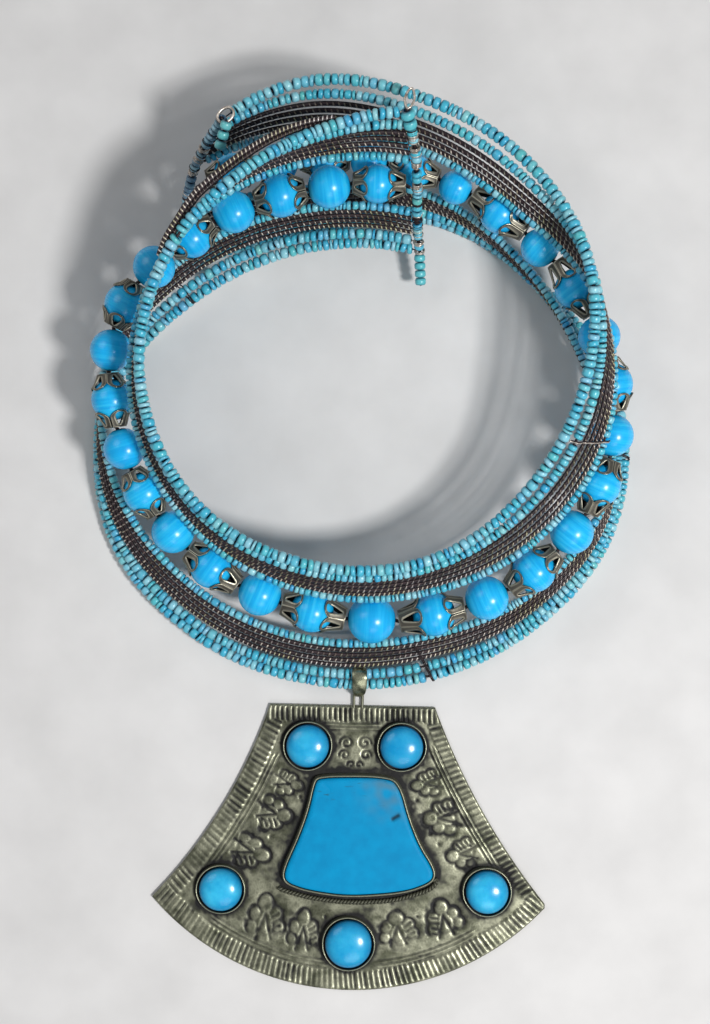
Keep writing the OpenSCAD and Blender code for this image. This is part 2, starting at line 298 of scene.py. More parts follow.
def strung_beads(piece, centres, along, side, up, radii, halves, colours, finish=0, sides=10):
    """Copies of the small bead, each with its own place, turn, size and two numbers of colour."""
    bead, faces = SMALL_BEADS[sides]
    radii, halves = np.asarray(radii), np.asarray(halves)
    points = (centres[:, None] + halves[:, None, None] * bead[:, :1] * along[:, None]
              + radii[:, None, None] * (bead[:, 1:2] * up[:, None] + bead[:, 2:] * side[:, None]))
    # painted shade: each bead is painted darker towards its ends, in the gaps between beads
    light = np.interp(bead[:, 0], [x for x, _ in BEAD_PROFILE], END_SHADE)
    tint = np.column_stack([np.repeat(colours, len(bead), axis=0), np.tile(light, len(centres))])
    copies = (np.array(faces)[None] + (np.arange(len(centres)) * len(bead))[:, None, None]).reshape(-1, 4)
    piece.add((points.reshape(-1, 3), copies.tolist()), finish, tint)


def row_of_beads(piece, path, s0, s1, radius, finish, mean, spread=0.36, blue=0.0, skip=()):
    """Small beads side by side on a path from s0 to s1, each with its own length, thickness and colour."""
    s, mids, halves = s0, [], []
    while s < s1 - 0.7:
        long = min(max(SHORTEST, min(LONGEST, RNG.gauss(mean, spread))), s1 - s)
        mid = s + long / 2
        if not any(lo < mid < hi for lo, hi in skip):
            mids.append(mid)
            halves.append(long / 2 - 0.03)
        s += long + 0.02
    c, t, a, u = path.frames(mids)
    r = radius * np.array([1 + max(-0.1, min(0.0, RNG.gauss(-0.03, 0.035))) for _ in mids])
    lean = np.array([[RNG.gauss(0, LEAN), RNG.gauss(0, LEAN)] for _ in mids])
    t = unit(t + lean[:, :1] * a + lean[:, 1:] * u)
    colours = np.array([[min(1, max(0, RNG.gauss(0.46 + blue, 0.15))), RNG.random()] for _ in mids])
    strung_beads(piece, c, t, *basis(t), r, halves, colours, finish)


# Finishes
def srgb(*rgb):
    """A colour given as red, green and blue from 0 to 255."""
    shares = [c / 255 for c in rgb]
    return (*(c / 12.92 if c <= 0.04045 else ((c + 0.055) / 1.055) ** 2.4 for c in shares), 1.0)


class Value:
    """A shader socket in an expression: every operator adds its Math node."""

    def __init__(self, finish, socket):
        self.finish, self.socket = finish, socket

    def maths(self, operation, *terms):
        return self.finish.node("ShaderNodeMath", {"operation": operation}, dict(enumerate(terms)))

    __add__ = __radd__ = lambda self, other: self.maths("ADD", self, other)
    __sub__ = lambda self, other: self.maths("SUBTRACT", self, other)
    __rsub__ = lambda self, other: self.maths("SUBTRACT", other, self)
    __mul__ = __rmul__ = lambda self, other: self.maths("MULTIPLY", self, other)
    __pow__ = lambda self, other: self.maths("POWER", self, other)
    __abs__ = lambda self: self.maths("ABSOLUTE", self)


class Finish:
    """A node material of the choker. Its methods add nodes and return what comes out of them as values."""

    def __init__(self, name):
        self.made = bpy.data.materials.new(name)
        self.made.use_nodes = True
        self.tree = self.made.node_tree
        self.shader = self.tree.nodes["Principled BSDF"]

    def plug(self, node, sockets):
        for key, value in sockets.items():
            if isinstance(value, Value):
                self.tree.links.new(value.socket, node.inputs[key])
            else:
                node.inputs[key].default_value = value

    def node(self, kind, settings=None, sockets=None, out=0):
        """Any node: its settings first, also a ramp's stops, then the values or links of its sockets."""
        node = self.tree.nodes.new(kind)
        for key, value in (settings or {}).items():
            if key == "stops":
                for _ in value[2:]:
                    node.color_ramp.elements.new(0.5)
                for mark, (place, *colour) in zip(node.color_ramp.elements, value):
                    mark.position = place
                    mark.color = srgb(*colour) if len(colour) == 3 else (*colour * 3, 1)
            else:
                setattr(node, key, value)
        self.plug(node, sockets or {})
        if isinstance(out, tuple):
            return [Value(self, node.outputs[key]) for key in out]
        return Value(self, node.outputs[out])

    def noise(self, scale, detail=3.0, rough=0.5, place=None):
        place = place or self.node("ShaderNodeTexCoord", out="Object")
        return self.node("ShaderNodeTexNoise", sockets={
            "Vector": place, "Scale": scale, "Detail": detail, "Roughness": rough})

    def ramp(self, value, stops):
        """Stops are a place with a number from 0 to 1, or with red, green and blue."""
        return self.node("ShaderNodeValToRGB", {"stops": stops}, {0: value})

    def mix(self, share, first, second, blend="MIX"):
        """Mixes colours, each a value or red, green and blue."""
        first, second = (srgb(*side) if isinstance(side, tuple) else side for side in (first, second))
        kind = {"data_type": "RGBA", "blend_type": blend}
        return self.node("ShaderNodeMix", kind, {0: share, 6: first, 7: second}, 2)

    def tint(self):
        """The three numbers that come with the mesh, from 0 to 1."""
        colour = self.node("ShaderNodeAttribute", {"attribute_name": "tint"}, out="Color")
        return self.node("ShaderNodeSeparateColor", sockets={0: colour}, out=(0, 1, 2))

    def surface(self, bump, strength, depth, sockets):
        """Sets the shader's sockets and a bump, and gives the finished material."""
        raised = {"Strength": strength, "Distance": depth, "Height": bump}
        self.plug(self.shader, {**sockets, "Normal": self.node("ShaderNodeBump", sockets=raised)})
        return self.made


def small_bead_glass(name, tones):
    """Small beads: tint red is the hue, green how pale the bead is, and blue is painted light that falls to 0
    in the gaps, where painted shade darkens the glass.
    """
    finish = Finish(name)
    hue, pale, light = finish.tint()
    cloud = finish.noise(900.0, 2.0)
    tone = finish.mix(0.7 * pale ** 2.2, finish.ramp(hue, tones), (186, 234, 240))
    tone = finish.mix(0.3 * cloud, tone, (30, 110, 135), "MULTIPLY")
    # painted shade in the gaps between the beads
    tone = finish.mix(1 - light, tone, (8, 58, 92))
    return finish.surface(cloud, 0.12, 0.00015, {
        "Base Color": tone, "Roughness": 0.2 * cloud + 0.2, "IOR": 1.5, "Specular IOR Level": 0.6})


def big_bead_glass():
    """Wound glass: tint red runs along the hole, green round it, and blue is the bead's own tone."""
    finish = Finish("wound_blue_glass")
    along, around, own = finish.tint()
    place = finish.node("ShaderNodeCombineXYZ", sockets={0: 3.2 * along, 1: 9.0 * own, 2: 0.5 * around})
    bands = finish.ramp(finish.noise(3.4, 3.0, 0.6, place), [
        (0.3, 14, 166, 232), (0.46, 26, 184, 244), (0.6, 46, 198, 250), (0.8, 84, 210, 252)])
    return finish.surface(finish.noise(260.0, 2.0), 0.06, 0.0003, {
        "Base Color": finish.mix(0.3 * own, bands, (14, 168, 236)), "Roughness": 0.27, "IOR": 1.5,
        "Specular IOR Level": 0.5, "Subsurface Weight": 0.1, "Subsurface Scale": 0.001,
        "Subsurface Radius": (0.2, 0.6, 1.0)})


def plain_wire(name, dark, light, rough, metal):
    finish = Finish(name)
    grain = finish.noise(700.0, 4.0, 0.6)
    return finish.surface(finish.noise(1750.0, 2.0), 0.15, 0.0001, {
        "Base Color": finish.ramp(grain, [(0.32, *dark), (0.7, *light)]), "Metallic": metal,
        "Roughness": finish.ramp(grain, [(0.3, rough - 0.08), (0.75, rough + 0.14)])})


def coiled_wire():
    """Wound wire: tint red is a painted glint on the side that faces outward, green is wear and the strength
    of the painted glints.
    """
    finish = Finish("dark_coiled_wire")
    outward, wear, _ = finish.tint()
    grain = finish.noise(900.0, 3.0, 0.6)
    # cream colour of the painted glints on the rubbed wire
    worn = finish.ramp(finish.noise(120.0, 2.0), [
        (0.36, 214, 206, 202), (0.5, 226, 214, 196), (0.62, 196, 190, 152)])
    low = finish.ramp(finish.noise(170.0, 2.0), [
        (0.38, 40, 38, 44), (0.52, 72, 46, 46), (0.64, 58, 60, 50)])
    return finish.surface(finish.noise(2200.0, 2.0), 0.15, 0.0001, {
        "Base Color": finish.mix(outward * wear * (1.2 * grain + 0.5), low, worn),
        "Metallic": 0.55 - 0.2 * outward, "Roughness": 0.24 * grain + 0.2})


def stained_metal(name, bright, base, dirt_and_shade, rough, metal):
    """Metal with dirt in the hollows and painted shade: tint red is dirt and painted shade, green is wear,
    blue is mottling.
    """
    finish = Finish(name)
    soiled_and_shaded, wear, mottle = finish.tint()
    grain = finish.noise(520.0, 5.0, 0.62)
    fine = finish.noise(2600.0, 3.0, 0.6)
    face = finish.mix(0.9 * (grain - 0.5) + wear, base, bright)
    face = finish.mix(0.6 * abs(mottle - 0.5), face, dirt_and_shade)
    return finish.surface(fine + 0.8 * grain, 0.25, 0.00012, {
        "Base Color": finish.mix(soiled_and_shaded * (0.5 * grain + 0.75), face, dirt_and_shade),
        "Metallic": metal - 0.45 * soiled_and_shaded, "Roughness": 0.3 * soiled_and_shaded + 0.22 * fine + (rough - 0.11)})


def domed_turquoise():
    """Polished stones: tint red is each stone's depth of tone and blue rises to 1 at its edge, where painted
    shade darkens it.
    """
    finish = Finish("round_turquoise")
    deep, _, edge = finish.tint()
    cloud = finish.noise(260.0, 4.0, 0.55)
    face = finish.ramp(cloud, [(0.3, 20, 165, 220), (0.72, 70, 205, 245)])
    face = finish.mix(0.6 * deep, face, (8, 132, 190))
    # painted shade: darker towards each stone's rim
    face = finish.mix(0.75 * edge ** 4.0, face, (4, 88, 140))
    return finish.surface(cloud, 0.08, 0.0002, {
        "Base Color": face, "Roughness": 0.1 * finish.noise(1500.0, 3.0, 0.6) + 0.16, "IOR": 1.5,
        "Specular IOR Level": 0.45, "Subsurface Weight": 0.1, "Subsurface Scale": 0.001})


def flat_turquoise():
    """The middle stone: tint red is the chip, green the stain and blue where its top edge is scratched."""
    finish = Finish("middle_turquoise")
    chip, stain, frayed = finish.tint()
    cloud = finish.noise(260.0, 4.0, 0.55)
    fine = finish.noise(1500.0, 3.0, 0.6)
    place = finish.node("ShaderNodeTexCoord", out="Object")
    slanted = finish.node("ShaderNodeMapping", sockets={
        "Vector": place, "Scale": (260.0, 1900.0, 400.0), "Rotation": (0, 0, 0.75)})
    scratch = finish.ramp(finish.noise(1.0, 2.0, 0.5, slanted), [(0.62, 0.0), (0.68, 1.0)]) * frayed
    face = finish.ramp(cloud, [(0.3, 0, 136, 188), (0.72, 0, 150, 202)])
    face = finish.mix(0.55 * stain, face, (96, 122, 128))
    face = finish.mix(0.8 * scratch, face, (40, 92, 112))
    return finish.surface(fine - scratch, 0.1, 0.0001, {
        "Base Color": finish.mix(chip, face, (24, 40, 50)), "Roughness": 0.2 * fine + 0.42, "IOR": 1.45,
        "Specular IOR Level": 0.14})


SMALL_GLASS = small_bead_glass("small_bead_glass", [
    (0.0, 112, 208, 198), (0.3, 88, 200, 214), (0.6, 70, 190, 222),
    (0.9, 46, 168, 224), (1.0, 38, 140, 214)])
SILVER_GLASS = small_bead_glass("silver_blue_glass", [
    (0.0, 150, 180, 190), (0.5, 120, 150, 170), (1.0, 84, 120, 152)])
BIG_GLASS = big_bead_glass()
COIL_METAL = coiled_wire()
BRIGHT_WIRE = plain_wire("bright_wire", (150, 136, 124), (236, 226, 214), 0.22, 0.5)
# dark wire for ties and stringing, also the coils' core, which is widened into painted shade between the
# strands
DARK_WIRE = plain_wire("dark_wire_and_shade_core", (26, 18, 22), (58, 42, 46), 0.5, 0.3)
CAP_METAL = stained_metal("antique_bronze", (206, 200, 178), (98, 90, 78), (26, 22, 24), 0.28, 0.92)
PLATE_METAL = stained_metal("stamped_metal", (182, 182, 156), (104, 106, 86), (18, 17, 18), 0.32, 0.85)
BAIL_METAL = stained_metal("bail_metal", (190, 190, 160), (112, 116, 94), (28, 28, 28), 0.28, 0.9)
ROUND_STONE = domed_turquoise()
FLAT_STONE = flat_turquoise()

# Rows of small beads
ROWS = [
    # name, place across the band, radius, mean length of a bead, how much bluer
    ("row_rim_upper", 0.0, 1.37, 1.52, 0.0), ("row_second", 3.0, 1.17, 1.46, -0.03),
    ("row_thin_upper", 11.2, 1.06, 1.34, 0.06), ("row_thin_lower", 24.8, 1.06, 1.34, 0.03),
    ("row_eighth", 33.2, 1.28, 1.46, 0.05), ("row_rim_lower", 36.0, 1.37, 1.58, 0.02),
]
TIES = [
    # wires tied over the rows: place and turn at both ends, bright or dark
    (1.3, 330.9, 11.6, 342.2, 1), (28.2, 357.6, 37.0, 361.5, 0), (-0.8, 156.6, 5.6, 152.2, 0),
    (31.6, 139.3, 37.4, 135.3, 0), (26.6, 282.5, 37.2, 287.7, 0),
]


def tie_gaps(path, w):
    """Stretches of a row that a tie takes up, as lengths along it."""
    gaps = []
    for w0, turn0, w1, turn1, _ in TIES:
        if w0 < w < w1:
            turn = turn0 + (turn1 - turn0) * (w - w0) / (w1 - w0)
            s = np.interp(turn, np.linspace(*row_ends(w), len(path.s)), path.s)
            gaps.append((s - 0.5, s + 0.5))
    return gaps


for name, w, r, mean, blue in ROWS:
    piece = Piece()
    path = row_path(w)
    piece.add(wire(path.evenly(160), 0.3), 1)
    row_of_beads(piece, path, 0.15, path.length - 0.1, r, 0, mean, blue=blue, skip=tie_gaps(path, w))
    piece.done("beads_" + name, [SMALL_GLASS, DARK_WIRE], "small_beads", name)

# Coiled wire
COILS = [
    # name, place across the band, how bright the wire's wear and painted glints are
    ("coil_upper_1", 5.1, 0.4), ("coil_upper_2", 6.6, 0.55), ("coil_upper_3", 8.05, 1.1),
    ("coil_upper_4", 9.5, 1.3), ("coil_lower_1", 26.5, 1.1), ("coil_lower_2", 27.9, 0.4),
    ("coil_lower_3", 29.3, 1.1), ("coil_lower_4", 30.7, 1.3),
]
COIL_R, COIL_WIRE_R, COIL_SIDES = 0.42, 0.2, 6
# the dark core is a flat sheet wider than the real core wire: painted shade that fills the gaps between the
# strands
SHADE_CORE_SIDE, SHADE_CORE_UP, CORE_STEP = 0.64, 0.4, 6


def coiled(piece, path, across, number, level, even, pitch):
    """Wire wound on a dark flat core along a path; the core is a real core wire, made dark, flat and wide as
    painted shade between the strands. The side vectors in across belong to the path's points.

    The wire gets painted glints and wear as brightly as level says, and as equally as even says."""
    s = np.linspace(0, path.length, int(path.length / pitch * 10) + 1)
    c, t, a, u = path.frames(s)
    a = unit(cols(*(np.interp(s, path.s, column) for column in across.T)))
    u = unit(np.cross(a, t))
    u = u * np.sign(u[:, 2:] + 1e-6)
    slip = 0.5 * np.sin(s * 0.31 + 2.1 * number) + 0.35 * np.sin(s * 0.83 + number)
    turn = TURN * s / pitch + number + slip
    out = turned(turn, a, u)
    mid = c + (COIL_R + 0.02 * np.sin(s * 0.35 + number))[:, None] * out
    points, faces = wire(mid, COIL_WIRE_R, COIL_SIDES, ends=False)
    ring = np.repeat(np.arange(len(s)), COIL_SIDES)
    outward = np.sum((points - mid[ring]) * out[ring], axis=1) / COIL_WIRE_R
    turn_glint_and_wear = np.array([RNG.uniform(0.35, 1.0) for _ in range(int(s[-1] / pitch) + 3)])
    wear = level * (even + (1 - even) * turn_glint_and_wear[(s / pitch + 0.5).astype(int)])
    # painted glint: bright where the wire faces outward at the top of each turn
    painted_glint = clamp(outward * clamp(np.sin(turn))[ring]) ** 1.5
    piece.add((points, faces), 0, cols(painted_glint, wear[ring], 0))
    # painted shade: the dark flat core under and between the turns
    c, a, u = (v[::CORE_STEP, None] for v in (c, a, u))
    k = TURN * np.arange(COIL_SIDES)[:, None] / COIL_SIDES
    piece.add(bent_grid(c + SHADE_CORE_SIDE * np.cos(k) * a + SHADE_CORE_UP * np.sin(k) * u), 1)


for number, (name, w, level) in enumerate(COILS):
    piece = Piece()
    turn = np.linspace(*row_ends(w), 900)
    # the strand of each half with the brightest painted glints and wear is worn most evenly and wound most
    # closely
    even, pitch = (0.7, 1.15) if level > 1.2 else (0.0, 1.4)
    coiled(piece, row_path(w), band(turn, w + 0.5) - band(turn, w - 0.5), number, level, even, pitch)
    if number == 0:
        # at the back left two turns of the wound wire have slipped out over the rim
        turn = np.linspace(100, 163, 300)
        out = np.interp(turn, [100, 107, 112, 118, 138, 144, 148, 152, 158, 163],
                        [1.9, 2.8, 3.2, 3.4, 3.35, 3.4, 3.0, 2.5, 2.1, 1.3])
        # the outer, higher slipped turn gets strong painted glints, the other hardly any
        for less, low, bright in ((0.0, 0.5, 1.6), (0.85, 1.1, 0.2)):
            slipped = Path(band(turn, 0.0) + (out - less)[:, None] * radial(turn) - np.array([0, 0, low]))
            coiled(piece, slipped, radial(turn), 9 + low, bright, 0.8, 1.0)
    piece.done("coils_" + name, [COIL_METAL, DARK_WIRE], "coiled_wire", name)

# Big glass beads and caps
BEADS = [
    # turn and diameter; every second one, from the first, is capped
    (86.7, 9), (100.4, 10), (114, 10), (127, 9.8), (139.2, 9.8), (150.3, 9.8), (160.8, 9.8), (171.5, 9.8),
    (182.5, 9.8), (193.9, 9.8), (204.9, 9.8), (216.3, 10.2), (228.8, 10.2), (242.5, 10.4), (256.3, 10.4),
    (271.5, 11.6), (287, 10.4), (300.3, 10.4), (313, 10.4), (325.3, 10.4), (337.7, 10.2), (349.3, 10),
    (361, 10), (372.5, 9.8), (385.5, 9.4), (399, 9), (412.7, 9.4), (426, 8), (437.5, 8.4), (449, 9),
    (460, 9.2), (471, 9.4), (481.3, 9.2),
]
TURNS = np.array([turn for turn, _ in BEADS])
BEAD_AT = band(TURNS, MID_W)
BEAD_ALONG = unit(band(TURNS + 0.5, MID_W) - band(TURNS - 0.5, MID_W))
HOLE_R, MOUTH_R = 0.86, 0.93


piece = Piece()
for i, (_, d) in enumerate(BEADS):
    t = BEAD_ALONG[i]
    a, u = basis(t)
    r = d / 2
    ends = math.asin(MOUTH_R / r)
    profile = [(-r * 0.985 * math.cos(q), r * math.sin(q)) for q in np.linspace(ends, math.pi - ends, 18)]
    profile += [(profile[-1][0] - 0.4, HOLE_R), (profile[0][0] + 0.4, HOLE_R)]
    points, faces = spun(profile, 32, True)
    x, k = points[:, 0], np.arctan2(points[:, 2], points[:, 1])
    # the glass is a little lumpy, but its hole is round
    lump = 1 + 0.008 * np.sin(2 * k + i) + 0.006 * np.sin(3 * k + 2.0 * i)
    lump = 0.988 * np.where(np.hypot(points[:, 1], points[:, 2]) > (HOLE_R + MOUTH_R) / 2, lump, 1)
    points = BEAD_AT[i] + x[:, None] * t - lump[:, None] * (points[:, 1:2] * u + points[:, 2:] * a)
    piece.add((points, faces), 0, cols(0.5 + 0.5 * x / r, k / TURN % 1, RNG.random()))
piece.done("glass_beads", [BIG_GLASS], "blue_glass", *["bead_%02d" % (i + 1) for i in range(len(BEADS))])


def cap_reach(i, side):
    """How far a cap of a bead reaches: nearly to the next bead."""
    j = i + side
    if j < 0 or j >= len(BEADS):
        return 6.4
    return min(8.4, float(np.linalg.norm(BEAD_AT[j] - BEAD_AT[i])) - BEADS[j][1] / 2 - 0.35)


CAP_END = 0.47


def cap_sheet(r1, reach, s, sink):
    """Distance along the axis and radius of the cap's sheet: s runs from 0 at the rim to 1 at the end."""
    a0, a1, cut = math.radians(61), math.radians(45), 0.3
    q = clamp(s / cut)
    a = a0 + (a1 - a0) * q
    x0, y0 = r1 * math.cos(a1), r1 * math.sin(a1)
    e = clamp((s - cut) / (1 - cut))
    x = np.where(s < cut, r1 * np.cos(a), x0 + (reach - x0) * e)
    y = np.where(s < cut, r1 * np.sin(a), y0 + (CAP_END * r1 - y0) * e ** 0.85)
    return x - 0.25 * sink, y - sink


def petal_loops(n=36):
    """Loops of one petal as places (s, angle in half petals): the edge of its long hole and its outline."""
    q = np.linspace(-180, 180, n, endpoint=False)
    m, sign, r = np.abs(q), np.sign(q), np.radians(q)
    a = np.where(m <= 62, m / 62, np.where(m <= 140, 1.0, 1 - (m - 140) / 40))
    out_s = np.where(m <= 62, 0.36 * a ** 2.3, np.where(m <= 140, 0.36 + 0.64 * (m - 62) / 78, 1.0))
    return cols(0.47 - 0.38 * np.cos(r), 0.4 * np.sin(r) * (1 + 0.5 * np.cos(r))), cols(out_s, a * sign)


piece = Piece()
HOLE, EDGE = petal_loops()
PETALS = 5
PETAL_RINGS = [
    # from the hole's edge to the petal's outline, then back below it:
    # share of the way, depth below the sheet, dirt and painted shade, wear
    (0.0, 0.08, 0.3, 0.9), (0.14, -0.06, 0.0, 1.0), (0.38, 0.06, 0.55, 0.4), (0.74, 0.05, 0.5, 0.4),
    (0.9, -0.05, 0.05, 1.0), (1.0, 0.06, 0.6, 0.6), (1.0, 0.28, 0.8, 0.3), (0.0, 0.3, 0.95, 0.2),
]
for i in range(0, len(BEADS), 2):
    for side in (-1, 1):
        t = BEAD_ALONG[i] * side
        a, u = basis(t)
        r1 = BEADS[i][1] / 2 + 0.42
        reach = cap_reach(i, side)
        phase = RNG.random() * 1.25
        for petal in range(PETALS):
            mid = phase + TURN * petal / PETALS + RNG.gauss(0, 0.03)
            rings, shade = [], []
            for k, sink, dirt_and_shade, worn in PETAL_RINGS:
                q = HOLE + (EDGE - HOLE) * k
                x, y = cap_sheet(r1, reach, q[:, 0], sink)
                around = turned(mid + q[:, 1] * math.pi / PETALS, a, u)
                rings.append(BEAD_AT[i] + x[:, None] * t + y[:, None] * around)
                # painted shade: darker under each petal and towards the cap's narrow end between the beads;
                # the hollows hold dirt
                shade.append(cols(clamp(dirt_and_shade + 0.35 * (q[:, 0] - 0.3)), worn, RNG.random()))
            piece.add(bent_grid(rings, rows=True), 0, np.concatenate(shade))
        # closed end with a small collar round the wire
        end = CAP_END * r1
        collar = [(-0.45, end - 0.26), (-0.02, end - 0.06), (0, end - 0.2), (-0.1, 1.4), (-0.05, 0.75),
                  (-0.5, 0.75)]
        points, faces = spun(collar, 30)
        piece.add((BEAD_AT[i] + reach * t + points @ np.array([t, u, a]), faces), 0, (0.6, 0.3, 0.5))
piece.done("pierced_caps", [CAP_METAL], "cap_metal", "bead_caps")

# The pendant plate. Its own places start in the middle of the top edge, with y up and the back at z = 0
PLATE_AT, PLATE_TURN = (-2.2, -38.4), math.radians(-1.3)
SETTINGS = [
    # middle of a round setting, radius of its stone and of its wall
    (-10.8, -9.8, 5.2, 6.1), (12.1, -9.6, 5.2, 6.1), (-31.2, -45.2, 5.2, 6.1), (33.7, -44.4, 5.2, 6.1),
    (0.2, -57.8, 5.7, 6.6),
]
MIDDLE = np.array([
    # corners of the middle stone
    (-7.9, -17.4), (9.5, -17.1), (11.9, -20.2), (13.8, -26.8), (16.6, -33.5), (20.4, -39.3), (20.1, -42),
    (13.5, -44.6), (0, -45.9), (-10, -44.7), (-15.4, -42.9), (-15.7, -40.2), (-12.2, -32), (-10, -25.4),
    (-8.8, -19.3),
])
# the plate's outline: half its width, then middle and radius of the arcs on its left, right and lower side
HALF_WIDE = 47.9
LEFT_X, LEFT_Y, LEFT_R = -140, 38, 125.7
RIGHT_X, RIGHT_Y, RIGHT_R = 181, 62.6, 172.7
FOOT_X, FOOT_Y, FOOT_R = 0.3, -5, 64.4


def placed(p):
    """Places of the plate in the shared frame, in millimetres."""
    x, y, z = np.moveaxis(np.asarray(p, float), -1, 0)
    c, s = math.cos(PLATE_TURN), math.sin(PLATE_TURN)
    return cols(PLATE_AT[0] + c * x - s * y, PLATE_AT[1] + s * x + c * y, z)


def smooth_loop(p, rounds=3, cut=0.22):
    for _ in range(rounds):
        q = np.roll(p, -1, 0)
        p = np.stack([p * (1 - cut) + q * cut, p * cut + q * (1 - cut)], 1).reshape(-1, p.shape[1])
    return p


def even_loop(p, n):
    return Path(np.vstack([p, p[:1]])).evenly(n + 1)[:-1]


def out_normals(p):
    t = unit(np.roll(p, -1, 0) - np.roll(p, 1, 0))
    n = cols(t[:, 1], -t[:, 0])
    area = 0.5 * np.sum(p[:, 0] * np.roll(p[:, 1], -1) - np.roll(p[:, 0], -1) * p[:, 1])
    return n if area > 0 else -n


def ripple(x, y, size, seed, n=16):
    """Soft unevenness from summed waves of about one size, mean 0 and spread near 0.7."""
    g = np.random.default_rng(seed)
    out = 0.0
    for _ in range(n):
        a, f, p = g.uniform(0, TURN), g.uniform(0.5, 1.5) / size, g.uniform(0, TURN)
        out = out + np.sin(TURN * f * (x * math.cos(a) + y * math.sin(a)) + p)
    return out / math.sqrt(n)


def step(a, b, x):
    t = clamp((x - a) / (b - a))
    return t * t * (3 - 2 * t)


def line_gap(x, y, pts):
    """Distance from each point to a polyline."""
    best = np.full(np.shape(x), 1e3)
    for (x0, y0), (x1, y1) in zip(pts[:-1], pts[1:]):
        dx, dy = x1 - x0, y1 - y0
        t = clamp(((x - x0) * dx + (y - y0) * dy) / (dx * dx + dy * dy))
        best = np.minimum(best, np.hypot(x - x0 - t * dx, y - y0 - t * dy))
    return best


def hashed(k, seed):
    return np.modf(np.abs(np.sin(k * 12.9898 + seed * 78.233) * 43758.5453))[0]


def grooves(s, pitch, seed):
    """Hand-cut grooves across a border: 0 on the land, 1 at the bottom of a deep one."""
    k = np.floor(s / pitch)
    f = s / pitch - k
    mid = 0.5 + 0.22 * (hashed(k, seed) - 0.5)
    deep = 0.5 + 0.5 * hashed(k, seed + 1.7)
    wide = 0.17 + 0.09 * hashed(k, seed + 3.1)
    return deep * soft(f - mid, wide)


# Places of the plate's grid, spread evenly between its four sides
GRID_X, GRID_Y = 330, 236
# gu runs from 0 to 1 to the right and gv downwards
gu, gv = np.linspace(0, 1, GRID_X)[None, :], np.linspace(0, 1, GRID_Y)[:, None]


def spread(top, bottom, left, right):
    corners = ((1 - gu) * ((1 - gv) * top[0, 0] + gv * bottom[0, 0])
               + gu * ((1 - gv) * top[0, -1] + gv * bottom[0, -1]))
    return (1 - gv) * top + gv * bottom + (1 - gu) * left + gu * right - corners


foot_x = -HALF_WIDE + 2 * HALF_WIDE * gu
foot_y = FOOT_Y - np.sqrt(FOOT_R ** 2 - (foot_x - FOOT_X) ** 2)
left_y, right_y = foot_y[0, 0] * gv, foot_y[0, -1] * gv
left_x = np.maximum(-HALF_WIDE, LEFT_X + np.sqrt(LEFT_R ** 2 - (left_y - LEFT_Y) ** 2))
right_x = np.minimum(HALF_WIDE, RIGHT_X - np.sqrt(RIGHT_R ** 2 - (right_y - RIGHT_Y) ** 2))
X = spread(left_x[0, 0] + (right_x[0, 0] - left_x[0, 0]) * gu, foot_x, left_x, right_x)
Y = spread(0 * gu, foot_y, left_y, right_y)

# How far each place is from the four sides (d), and how far along them (s)
from_top = -Y
from_left = np.hypot(X - LEFT_X, Y - LEFT_Y) - LEFT_R
from_right = np.hypot(X - RIGHT_X, Y - RIGHT_Y) - RIGHT_R
from_foot = FOOT_R - np.hypot(X - FOOT_X, Y - FOOT_Y)
along_left = LEFT_R * np.arctan2(Y - LEFT_Y, X - LEFT_X)
along_right = RIGHT_R * np.arctan2(Y - RIGHT_Y, RIGHT_X - X)
along_foot = FOOT_R * np.arctan2(X - FOOT_X, FOOT_Y - Y)

# The border: worn grooves across a raised band
bump = 0.08 * ripple(X, Y, 14, 3) + 0.025 * ripple(X, Y, 3.5, 5)
in_top = 1 - step(3.5, 3.9, from_top + 0.25 * np.sin(X * 0.9))
in_foot = (1 - step(4.4, 5.0, from_foot + 0.3 * np.sin(along_foot * 0.3))) * (1 - in_top)
in_left = (1 - step(3.9, 4.5, from_left)) * (1 - in_foot) * (1 - in_top)
in_right = (1 - step(3.1, 3.5, from_right)) * (1 - in_foot) * (1 - in_top)
border = clamp(in_top + in_foot + in_left + in_right)
fade_left = np.clip(0.72 + 0.5 * ripple(along_left, 0 * along_left, 16, 8), 0.25, 1)
fade_right = np.clip(0.8 + 0.35 * ripple(along_right, 0 * along_right, 13, 9), 0.35, 1)
fade_foot = np.clip(0.78 + 0.4 * ripple(along_foot, 0 * along_foot, 15, 10), 0.3, 1)
cut = (in_top * grooves(X + 0.03 * Y, 1.28, 1)
       + in_left * fade_left * grooves(along_left + 0.12 * from_left, 1.4, 2)
       + in_right * fade_right * grooves(along_right - 0.1 * from_right, 1.42, 3)
       + in_foot * fade_foot * grooves(along_foot + 0.1 * from_foot, 1.33, 4))
edge = np.minimum(np.minimum(from_top, from_foot), np.minimum(from_left, from_right))
shallow = 0.35 + 0.65 * step(0.1, 1.1, edge)
relief = 1.0 + 0.2 * border - 0.42 * cut * shallow + 0.4 * bump
dark = 1.15 * cut * shallow + 0.2 * border - 0.12 * in_foot

# Double ridges inside the border
RIDGES = [
    # distance from a side, place along it, from, to, and the distances of the two ridges
    (from_left, -Y, 12.5, 39.5, 5.2, 6.2), (from_right, -Y, 10, 38, 3.75, 4.6),
    (from_top, X, -7.8, 6.6, 4.6, 5.45), (from_foot, -X, 5.2, 33.5, 5.55, 6.6),
    (from_foot, X, 6.8, 30.5, 5.5, 6.5),
]
for d, along, lo, hi, first, second in RIDGES:
    on = step(lo - 1, lo + 1.2, along) * (1 - step(hi - 1.2, hi + 1, along))
    relief = relief + 0.24 * on * (soft(d - first, 0.24) + soft(d - second, 0.24))
    for r, w, k in (((first + second) / 2, 0.2, 0.9), (first - 0.5, 0.22, 0.7), (second + 0.48, 0.26, 0.8)):
        dip = k * on * soft(d - r, w)
        relief, dark = relief - 0.12 * dip, dark + 0.75 * dip


